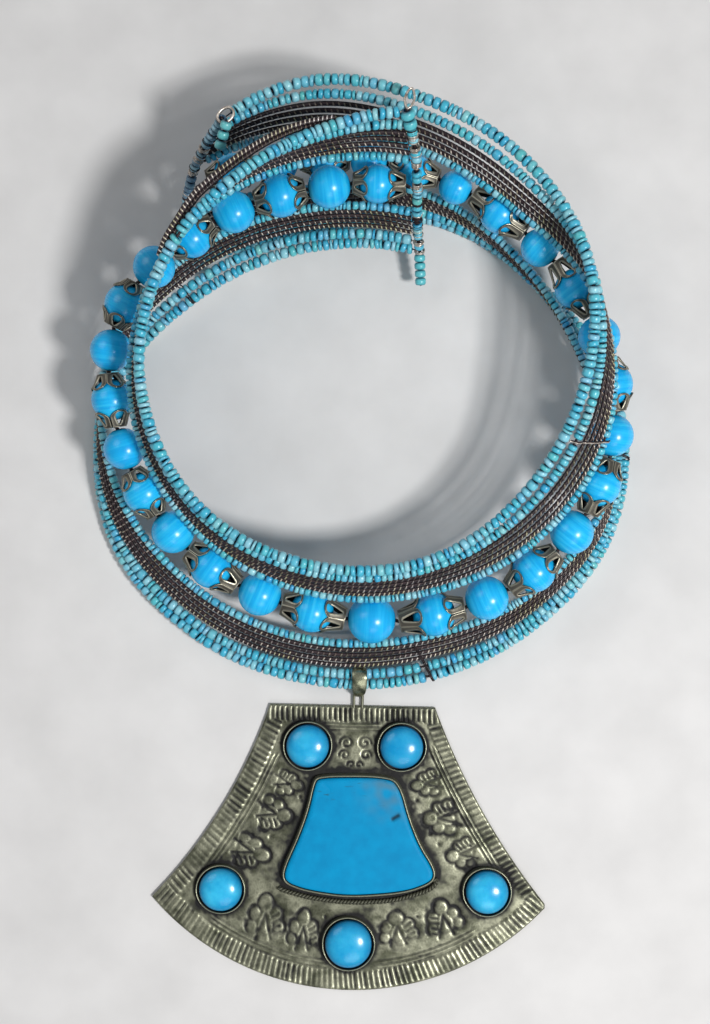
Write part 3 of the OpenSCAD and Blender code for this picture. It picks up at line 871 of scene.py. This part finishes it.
def motif(x, y, base, tip, wide, dashes, seed):
    """Depth of one stamped leaf, 0 to 1: a scalloped outline, two strokes that meet and four dashes."""
    ax, ay = tip[0] - base[0], tip[1] - base[1]
    size = math.hypot(ax, ay)
    ax, ay = ax / size, ay / size
    k = size / 9.0
    px, py = x - base[0], y - base[1]
    v = (px * ax + py * ay) / k
    h = (px * ay - py * ax) / (wide / 10.0)
    near = (np.abs(v - 4.5) < 7) & (np.abs(h) < 8)
    out = np.zeros_like(x)
    v, h = v[near] + 0.12 * ripple(v[near], h[near], 5, seed), h[near]
    lobe = np.full_like(v, 99.0)
    for cx, cy, r in ((-3.5, 2.4, 1.6), (-2.7, 4.9, 1.7), (0, 6.9, 2.1), (2.7, 4.9, 1.7), (3.5, 2.4, 1.6),
                      (0, 3.2, 2.6)):
        lobe = np.minimum(lobe, np.hypot(h - cx, v - cy) - r)
    deep = (soft(lobe, 0.52) + 0.35 * soft(lobe, 1.1) * (lobe > 0)) * step(0.2, 1.6, v)
    for pts in (((-2.4, 0.1), (0, 4.9)), ((0, 4.9), (1.5, 0.0))):
        deep = np.maximum(deep, soft(line_gap(h, v, pts), 0.5))
    for q in range(4):
        x0, y0 = 2.2 - 0.22 * q, 0.7 + 1.25 * q
        dash = (x0, y0), (x0 + 1.9, y0 + 0.8)
        deep = np.maximum(deep, 0.9 * soft(line_gap(h * dashes, v, dash), 0.38))
    out[near] = deep
    return out


MOTIFS = [
    # base x, y, tip x, y, width, side of the dashes
    (-20.3, -57.3, -20.1, -46.4, 9.2, 1), (-10.9, -59.7, -10.8, -49.8, 7.8, 1),
    (12.9, -58, 11.4, -49.9, 9.6, 1), (24.6, -55.5, 22, -46.8, 9.2, -1),
    (-28.6, -35.1, -19.4, -37.4, 8.4, 1), (-22.7, -26.1, -14.2, -27.5, 8.6, 1),
    (-18.7, -18.7, -11.8, -20, 6.2, -1), (21.8, -17.8, 14.5, -19.4, 6.4, 1),
    (26.5, -26.4, 17.5, -27.3, 8.6, 1), (30.9, -34.7, 23.6, -36.5, 7.6, 1),
]
DOTS = [(-15.8, -50.4), (-15.7, -24.6), (-19.4, -32.4), (17, -51.1), (16.2, -22.7), (21.8, -33.3),
        (-12.4, -22.4), (19.6, -30.8), (-23.3, -49.6), (-5.6, -51.6)]
for k, (bx, by, tx, ty, wide, side) in enumerate(MOTIFS):
    dip = motif(X, Y, (bx, by), (tx, ty), wide, side, 20 + k) * (0.72 + 0.28 * hashed(k, 5.0))
    relief, dark = relief - 0.24 * dip, dark + 1.15 * dip
for x0, y0 in DOTS:
    dip = soft(np.hypot(X - x0, Y - y0), 0.42)
    relief, dark = relief - 0.3 * dip, dark + 0.9 * dip
# A pair of scrolls between the upper stones
dip = np.zeros_like(X)
for side in (-1, 1):
    for turns, x0, y0, r0 in ((1.25, 2.2, -9.0, 1.7), (1.1, 2.6, -12.0, 1.35), (0.8, 1.0, -14.3, 0.9)):
        q = np.linspace(0, TURN * turns, 26)
        r = r0 * (1 - 0.75 * q / q[-1])
        scroll = cols(0.8 + side * (x0 + r * np.cos(q)), y0 + r * np.sin(q))
        dip = np.maximum(dip, soft(line_gap(X, Y, scroll), 0.3))
relief, dark = relief - 0.22 * dip, dark + 0.85 * dip

# Dirt and painted shade round every setting
ring = np.full(X.shape, 99.0)
for bx, by, r0, r1 in SETTINGS:
    ring = np.minimum(ring, np.hypot(X - bx, Y - by) - r1)
outline = even_loop(smooth_loop(MIDDLE), 240)
middle_gap = line_gap(X, Y, np.vstack([outline, outline[:1]])) - 0.9
near, near_middle = np.maximum(ring, 0), np.maximum(middle_gap, 0)
soot_and_shade = (0.95 * soft(near, 0.75) + 0.35 * soft(near, 2.2)
        + 0.9 * soft(near_middle, 1.25) + 0.4 * soft(near_middle, 3.0))
grime = np.clip(0.3 * ripple(X, Y, 6, 11) + 0.22 * ripple(X, Y, 2.0, 12), -0.3, 0.6)
dark = clamp(dark + soot_and_shade + np.maximum(grime, 0) * (1 - 0.5 * border))
worn = clamp(0.5 + 0.35 * ripple(X, Y, 9, 13) + 0.2 * ripple(X, Y, 2.6, 14) + 0.1 * border)
relief = np.where((ring < -0.4) | (middle_gap < -0.9), 1.0, np.minimum(relief, 1.24))
relief = relief - 0.22 * (1 - step(0.0, 0.35, edge)) ** 2
tint = cols(dark, worn, clamp(0.5 + 0.4 * ripple(X, Y, 1.3, 15))).reshape(-1, 3)

# The plate is a grid over its outline, and its edge is drawn down and in to the flat back
bm, verts = grid_at(cols(X, Y, relief))
cell = np.arange(GRID_X * GRID_Y).reshape(GRID_Y, GRID_X)
rim = [verts[k] for k in (*cell[0], *cell[1:, -1], *cell[-1, -2::-1], *cell[-2:0:-1, 0])]
rim_xy = np.array([vert.co[:2] for vert in rim])
outward = out_normals(rim_xy)
number = {vert: n for n, vert in enumerate(rim)}
edges = [part for part in bm.edges if part.is_boundary]


def drawn(edges):
    """Extrudes edges and gives the new edges and points."""
    parts = bmesh.ops.extrude_edge_only(bm, edges=edges)["geom"]
    kinds = bmesh.types.BMEdge, bmesh.types.BMVert
    return [[part for part in parts if isinstance(part, kind)] for kind in kinds]


for push, z in ((0.07, 0.72), (0.07, 0.3), (0.0, 0.06), (-0.3, 0.0)):
    edges, below = drawn(edges)
    above = {vert: [edge.other_vert(vert) for edge in vert.link_edges] for vert in below}
    number = {vert: next(number[near] for near in above[vert] if near in number) for vert in below}
    for vert, n in number.items():
        vert.co = (*(rim_xy[n] + push * outward[n]), z)
bmesh.ops.pointmerge(bm, verts=drawn(edges)[1], merge_co=(0, -35, 0))
bmesh.ops.recalc_face_normals(bm, faces=bm.faces)
points, faces = read(bm)
tints = np.full((len(points), 3), (0.3, 0.7, 0.5))
tints[:len(tint)] = tint
piece = Piece()
piece.add((placed(points), faces), 0, tints)
piece.done("stamped_plate", [PLATE_METAL], "pendant_metal", "pendant_plate")

# Settings: thin walls round the stones, a twisted wire and the eye
piece = Piece()


def raised(loop, outward, profile):
    """Copies of a loop, each moved outwards and up."""
    return [cols(*(loop + d * outward).T, z) for d, z in profile]


def wall(loop, outward, profile, tint=(0.3, 0.7, 0.5)):
    piece.add(bent_grid(placed(raised(loop, outward, profile))), 0, tint)


ROUND_WALL = [(0.0, 0.95), (0.0, 1.25), (-0.08, 1.5), (-0.08, 2.1), (-0.12, 2.5), (-0.2, 2.64), (-0.3, 2.64),
              (-0.38, 2.5), (-0.4, 1.9), (-0.4, 1.2)]
MIDDLE_WALL = [(0.9, 0.95), (0.88, 1.3), (0.72, 1.6), (0.66, 2.5), (0.55, 2.78), (0.38, 2.82), (0.24, 2.74),
             (0.2, 2.5)]
for n, (bx, by, r0, r1) in enumerate(SETTINGS):
    q = np.linspace(0, TURN, 72, endpoint=False)
    uneven = 1 + 0.008 * np.sin(2 * q + n) + 0.006 * np.sin(3 * q + 2 * n)
    circle = cols(uneven * np.cos(q), uneven * np.sin(q))
    # painted shade: the inner side of each wall, in the gap by its stone, is darkest; its foot is darker and
    # its top rubbed bright
    shade = np.repeat([(0.6, 0.5, 0.5)] * 4 + [(0.1, 1.0, 0.5)] * 4 + [(1.0, 0.0, 0.5)] * 2, len(q), axis=0)
    wall(circle * r1 + np.array([bx, by]), circle, ROUND_WALL, shade)
middle_out = out_normals(outline)
wall(outline, middle_out, MIDDLE_WALL)
# a twisted wire below the middle stone: a smoothed loop without the stretch that closes it
line = smooth_loop(np.array([
    (-17.1, -44.2), (-16.9, -45.1), (-9, -47.1), (0.5, -48.0), (10.8, -47.3), (16.5, -45.6), (19.6, -44.4),
    (21.2, -43.0), (21.6, -41.4)]))[:-8]
rope = Path(cols(*line.T, 1.42))
s = np.arange(0, rope.length, 0.2)
c, t, a, u = rope.frames(s)
for phase in (0, math.pi):
    strand = c + 0.32 * turned(TURN * s / 1.7 + phase, a, u)
    piece.add(wire(placed(strand), 0.31), 0, (0.7, 0.6, 0.5))
# eye: two short arms and a cross bar
eye = Path(np.array([
    (-1.0, -0.6, 0.85), (-1.05, 1.6, 0.85), (-1.05, 2.6, 0.86), (-0.6, 3.1, 0.87), (0.6, 3.1, 0.87),
    (1.05, 2.6, 0.86), (1.05, 1.6, 0.85), (1.0, -0.6, 0.85)]) + (1.25, 0, 0))
piece.add(wire(placed(eye.evenly(40)), 0.34, 8), 0, (0.5, 0.6, 0.5))
piece.done("stone_settings", [PLATE_METAL], "pendant_metal")

# Round stones: polished domes, each a little different
STONE_TONE = [0.35, 0.75, 0.0, 0.05, 0.5]
for n, (bx, by, r0, r1) in enumerate(SETTINGS):
    rise = np.linspace(0.12, math.pi / 2, 27)
    profile = [(1.08, r0), (2.0, r0), (2.3, 0.995 * r0)]
    profile += [(2.3 + 2.5 * math.sin(e) ** 0.92, r0 * math.cos(e)) for e in rise]
    points, faces = spun(profile, 72)
    q, r = np.arctan2(points[:, 2], points[:, 1]), np.hypot(points[:, 1], points[:, 2])
    swell = 1 + 0.006 * np.sin(2 * q + 1.3 * n)
    points = placed(cols(bx + swell * points[:, 1], by + swell * points[:, 2], points[:, 0]))
    piece = Piece()
    # blue runs out to the rim for the painted shade
    piece.add((points, faces), 0, cols(STONE_TONE[n], 0.5, r / r0))
    piece.done("round_stone_%d" % (n + 1), [ROUND_STONE], "blue_stone", "cabochon_%d" % (n + 1))

# Middle stone: a flat slab with rounded edges, one notch and a few scratches
mid = outline.mean(0)
rows = raised(outline, middle_out, [
    (0.0, 1.06), (0.02, 2.55), (-0.06, 2.8), (-0.22, 3.0), (-0.5, 3.14), (-0.9, 3.2)])
inner = outline - 0.9 * middle_out
LOOPS = 66
for e in 1 - np.arange(1, LOOPS) / LOOPS:
    x, y = (mid + (inner - mid) * e).T
    z = 3.2 + 0.05 * (1 - e ** 2) + 0.012 * ripple(x, y, 9, 31)
    notch = soft(line_gap(x, y, ((10.35, -26.85), (11.5, -26.15))), 0.42)
    nick = soft(line_gap(x, y, ((-6.6, -18.9), (-5.2, -20.1))), 0.3)
    rows.append(cols(x, y, z - 0.34 * notch - 0.08 * nick))
rows.append(np.tile([*mid, 3.25], (len(outline), 1)))
points, faces = bent_grid(rows, tip=True)
x, y = points[:, 0], points[:, 1]
hole = soft(line_gap(x, y, ((10.3, -26.9), (11.6, -26.1))), 0.5)
stain = clamp(step(0, 11, x + 1) * step(-30, -19, y) * (0.6 + 0.5 * ripple(x, y, 4, 33)))
fray = clamp(step(-26, -18, y) * (0.4 + 0.7 * ripple(x, y, 2.2, 34)))
piece = Piece()
piece.add((placed(points), faces), 0, cols(hole, stain, fray))
piece.done("middle_stone", [FLAT_STONE], "blue_stone", "centre_stone")

# End bars, tails, loops, wire ends
STRAND_PLACES = [w for _, w, _, _, _ in ROWS] + [w for _, w, _ in COILS]


def wrap(piece, path, s, turns, radius, thick, finish, pitch=0.4):
    """A few turns of wire round a path."""
    q = np.linspace(-0.5, 0.5, int(turns * 14) + 1)
    c, t, a, u = path.frames(s + q * turns * pitch)
    piece.add(wire(c + radius * turned(TURN * q * turns, a, u), thick), finish)


BAR_TOP, BAR_FOOT = -0.8, 36.6


def end_bar(piece, table, wraps, big, mean, finish, end):
    """Beads on a bar across the band's first (0) or last (1) end, with wraps and some bigger beads."""
    w = np.linspace(BAR_TOP, BAR_FOOT, 300)
    path = Path(band(np.interp(w, *table), w))
    piece.add(wire(path.evenly(120, 0.05), 0.42), 2)
    start = 0.1
    for s, half, r in big:
        strung_beads(piece, *path.frames([s]), [r], [half], [[0.25, 0.3]], 0, 18)
        start = s + half + 0.05
    gaps = [(s - 0.6, s + 0.6) for s, _ in wraps]
    row_of_beads(piece, path, start, path.length, 1.24, finish, mean, 0.28, skip=gaps)
    for s, bright in wraps:
        wrap(piece, path, s, 2.6, 1.02, 0.17, 1 if bright else 2)
    # the wires of the rows come round the bar
    for w0 in STRAND_PLACES + [MID_W]:
        on_bar = band(np.interp(w0, *table), w0)
        on_row = band(row_ends(w0)[end], w0)
        s0 = float(path.s[np.argmin(np.linalg.norm(path.p - on_bar, axis=1))])
        wrap(piece, path, s0, 1.2, 1.2, 0.13, 1 if RNG.random() < 0.45 else 2, 0.3)
        lead = unit(on_row - on_bar)
        lead = np.linspace(on_bar + 0.9 * lead, on_row + 0.3 * lead, 5)
        piece.add(wire(lead, 0.16), 1 if RNG.random() < 0.5 else 2)
    return path


def rounded(q, power):
    """A cosine made fuller or leaner."""
    return np.sign(np.cos(q)) * np.abs(np.cos(q)) ** power


def end_loop(piece, c, u, v, ru, rv, power, thick, finish, lift):
    """A closed wire loop round c, ru long towards u and rv wide towards v."""
    q = TURN * np.arange(44)[:, None] / 44
    places = ru * rounded(q, power) * u + rv * rounded(q - math.pi / 2, power) * v
    piece.add(wire(c + lift * np.cross(u, v) + places, thick, 8, True), finish)


def tail(piece, start, step_v, n, r, half, hue):
    """A short straight string of beads."""
    path = Path(start + np.arange(n + 1)[:, None] * np.array(step_v))
    count = max(2, int(round(path.length / (2 * half + 0.08))))
    s = np.linspace(half + 0.1, path.length - half - 0.1, count)
    half = min(half, (s[1] - s[0]) / 2 - 0.03)
    colours = [[hue, RNG.uniform(0.1, 0.7)] for _ in s]
    strung_beads(piece, *path.frames(s), [r] * len(s), [half] * len(s), colours, 0, 16)
    piece.add(wire(path.evenly(8), 0.2), 2)


piece = Piece()
path = end_bar(
    piece, BAR_A, [(7.2, 1), (10.3, 1), (14.4, 1), (19.8, 1), (25.0, 0), (28.8, 0), (36.3, 1), (39.3, 1)],
    [(1.5, 1.12, 1.62), (3.95, 1.12, 1.55)], 1.7, 0, 0)
wrap(piece, path, 6.3, 4.0, 1.0, 0.2, 2, 0.45)
top = band(np.interp(BAR_TOP, *BAR_A), BAR_TOP)
long, wide = unit(np.array([0.2, 0.98, 0])), unit(np.array([0.98, -0.2, 0]))
for lift in (-0.2, 0.22):
    end_loop(piece, top + (0.5, 2.2, -0.1), long, wide, 2.3 + 0.1 * lift, 1.05, 1.3, 0.26, 1, lift)
foot = band(np.interp(FULL_W, *BAR_A), FULL_W)
tail(piece, foot + (0, -0.6, -0.3), (0.05, -1.05, -0.3), 7, 1.32, 0.95, 0.2)
piece.done("end_bar_beads_a", [SMALL_GLASS, BRIGHT_WIRE, DARK_WIRE], "small_beads", "end_bar_a")

piece = Piece()
end_bar(
    piece, BAR_B, [(10.2, 1), (12.7, 1), (17.2, 1), (24.5, 0), (30.0, 0), (36.5, 0), (41.5, 1)], [],
    1.55, 3, 1)
top = band(np.interp(BAR_TOP, *BAR_B), BAR_TOP)
long, wide = unit(np.array([0.74, 0.67, 0])), unit(np.array([-0.67, 0.74, 0]))
for lift in (-0.22, 0.22):
    end_loop(piece, top + (0.9, 0.4, 0.4), long, wide, 2.0, 1.45, 0.9, 0.3, 1 if lift > 0 else 2, lift)
tail(piece, top + (1.3, -1.0, 1.2), (-0.35, -0.95, -0.5), 6, 1.3, 0.98, 0.12)
piece.done("end_bar_beads_b", [SMALL_GLASS, BRIGHT_WIRE, DARK_WIRE, SILVER_GLASS], "small_beads", "end_bar_b")

# Ties over the rows
STRAND_R = [(w, r) for _, w, r, _, _ in ROWS] + [(w, COIL_R + COIL_WIRE_R) for _, w, _ in COILS]
TIE_R = 0.16


def over(w):
    """How high a tie stands above the band: over the strands, and low between them."""
    return max([0.35] + [math.sqrt(max(0.0, (r + TIE_R) ** 2 - (w - w0) ** 2)) for w0, r in STRAND_R])


def tie(piece, w0, turn0, w1, turn1, finish):
    w, turn = np.linspace(w0, w1, 60), np.linspace(turn0, turn1, 60)
    inside, on = np.clip(w, 0, FULL_W), np.clip(w, 0.1, FULL_W - 0.1)
    p = band(turn, inside)
    n = unit(np.cross(band(turn + 0.5, on) - p, band(turn, on + 0.1) - band(turn, on)))
    n = n * np.sign(np.sum(n * (radial(turn) + (0, 0, 1)), axis=1))[:, None]
    lift = np.convolve(np.pad([over(x) for x in w], 2, "edge"), np.ones(5) / 5, "valid")
    across = unit(band(turn, MID_W + 2) - band(turn, MID_W - 2))
    piece.add(wire(p + n * lift[:, None] + across * (w - inside)[:, None], TIE_R), finish)


piece = Piece()
for w0, turn0, w1, turn1, bright in TIES:
    tie(piece, w0, turn0, w1, turn1, 0 if bright else 1)
    tie(piece, w0 + 0.3, turn0 + 0.55, w1, turn1 + 0.35, 1)
# a few spare beads hang outside the lower rim
turn = np.linspace(126.8, 131.4, 30)
spare = Path(band(turn, FULL_W) + radial(turn) * (1.9 + 0.5 * np.sin(np.linspace(0, math.pi, 30)))[:, None])
piece.add(wire(spare.evenly(20), 0.14), 1)
row_of_beads(piece, spare, 0.5, spare.length - 0.4, 1.0, 2, 1.25, 0.2)
piece.done("wire_ties", [BRIGHT_WIRE, DARK_WIRE, SMALL_GLASS], "coiled_wire")

# Bail
BAIL_LINE = np.array([
    # y and z from the plate's edge, width, x
    (9.71, 4.58, 3.2, 1.6), (9.4, 5.17, 3.5, 1.6), (8.9, 5.63, 3.6, 1.6), (8.2, 5.9, 3.6, 1.6),
    (7.5, 6, 3.6, 1.6), (6.4, 5.75, 3.6, 1.6), (5.2, 5.2, 3.5, 1.6), (4.2, 4.55, 3.3, 1.55),
    (3.4, 3.75, 3, 1.5), (2.85, 2.85, 2.4, 1.4), (2.5, 1.9, 1.8, 1.3), (2.4, 0.9, 1.4, 1.25),
    (2.6, 0.36, 1.3, 1.25), (3.4, 0.28, 1.3, 1.25), (4.3, 0.3, 1.6, 1.3), (5.4, 0.6, 2, 1.4),
    (6.6, 1.15, 2.4, 1.5), (7.8, 1.7, 2.8, 1.6), (8.9, 2.4, 3, 1.6), (9.55, 3.05, 3, 1.6),
    (9.8, 3.9, 3, 1.6),
])
line = even_loop(smooth_loop(BAIL_LINE, 2, 0.25), 90)
t = unit(np.roll(line, -1, 0)[:, :2] - np.roll(line, 1, 0)[:, :2])
k = TURN * np.arange(20) / 20
side = rounded(k, 0.7)
half = 0.17 * rounded(k - np.pi / 2, 0.8) - 0.078 * (side ** 2 - 0.5)
x = PLATE_AT[0] + line[:, 3:] + side * line[:, 2:3] / 2
y, z = PLATE_AT[1] + line[:, :1] + half * t[:, 1:], line[:, 1:2] - half * t[:, :1]
piece = Piece()
wear = clamp(0.6 + 0.5 * ripple(y + x, z, 3, 41))
# the strip is painted darker on its narrow sides
dirt_and_shade = clamp(0.75 - 1.1 * np.sqrt(clamp(1 - side ** 2)) + 0.2 * ripple(x, y + z, 1.5, 42))
piece.add(bent_grid(cols(x, y, z), rows=True), 0, cols(dirt_and_shade, wear, wear).reshape(-1, 3))
piece.done("bail_strip", [BAIL_METAL], "pendant_metal", "bail")
frame["nodes"]["bead_wire"].data.materials.clear()
frame["nodes"]["bead_wire"].data.materials.append(DARK_WIRE)

# Floor, light, camera
paper = Finish("floor_paper")
tone = paper.ramp(paper.noise(60.0, 4.0), [(0.3, 214, 212, 210), (0.7, 224, 222, 220)])
paper.plug(paper.shader, {"Base Color": tone, "Roughness": 0.85})
ground = bpy.data.meshes.new("floor")
bm = bmesh.new()
bmesh.ops.create_grid(bm, x_segments=1, y_segments=1, size=1.5)
bmesh.ops.translate(bm, verts=bm.verts, vec=(0, 0, -0.05 * MM))
bm.to_mesh(ground)
bm.free()
ground.materials.append(paper.made)
floor = bpy.data.objects.new("floor", ground)
bpy.context.scene.collection.objects.link(floor)


def lamp(name, where, size, power):
    light = bpy.data.lights.new(name, "AREA")
    light.shape, light.size, light.energy = "DISK", size, power
    thing = bpy.data.objects.new(name, light)
    thing.location = where
    thing.rotation_euler = (-Vector(where)).to_track_quat("-Z", "Y").to_euler()
    bpy.context.scene.collection.objects.link(thing)


lamp("key", (0.34, -0.16, 0.62), 0.12, 4.1)
lamp("fill", (-0.5, 0.35, 0.55), 0.5, 1.1)
lamp("front", (0.1, -0.6, 0.5), 0.4, 0.8)
world = bpy.data.worlds.new("room")
world.use_nodes = True
world.node_tree.nodes["Background"].inputs[0].default_value = (0.9, 0.94, 1.0, 1)
world.node_tree.nodes["Background"].inputs[1].default_value = 0.22
bpy.context.scene.world = world

PIXELS_Y, MM_PER_PIXEL, HEIGHT = 1024, 0.245, 350
camera = bpy.data.cameras.new("camera")
camera.sensor_width = 36.0
camera.lens = camera.sensor_width * HEIGHT / (MM_PER_PIXEL * PIXELS_Y)
camera.clip_start = 0.01
thing = bpy.data.objects.new("camera", camera)
thing.location = (-1.7 * MM, 9.0 * MM, HEIGHT * MM)
scene = bpy.context.scene
scene.collection.objects.link(thing)
scene.camera = thing
scene.view_settings.view_transform = "Standard"
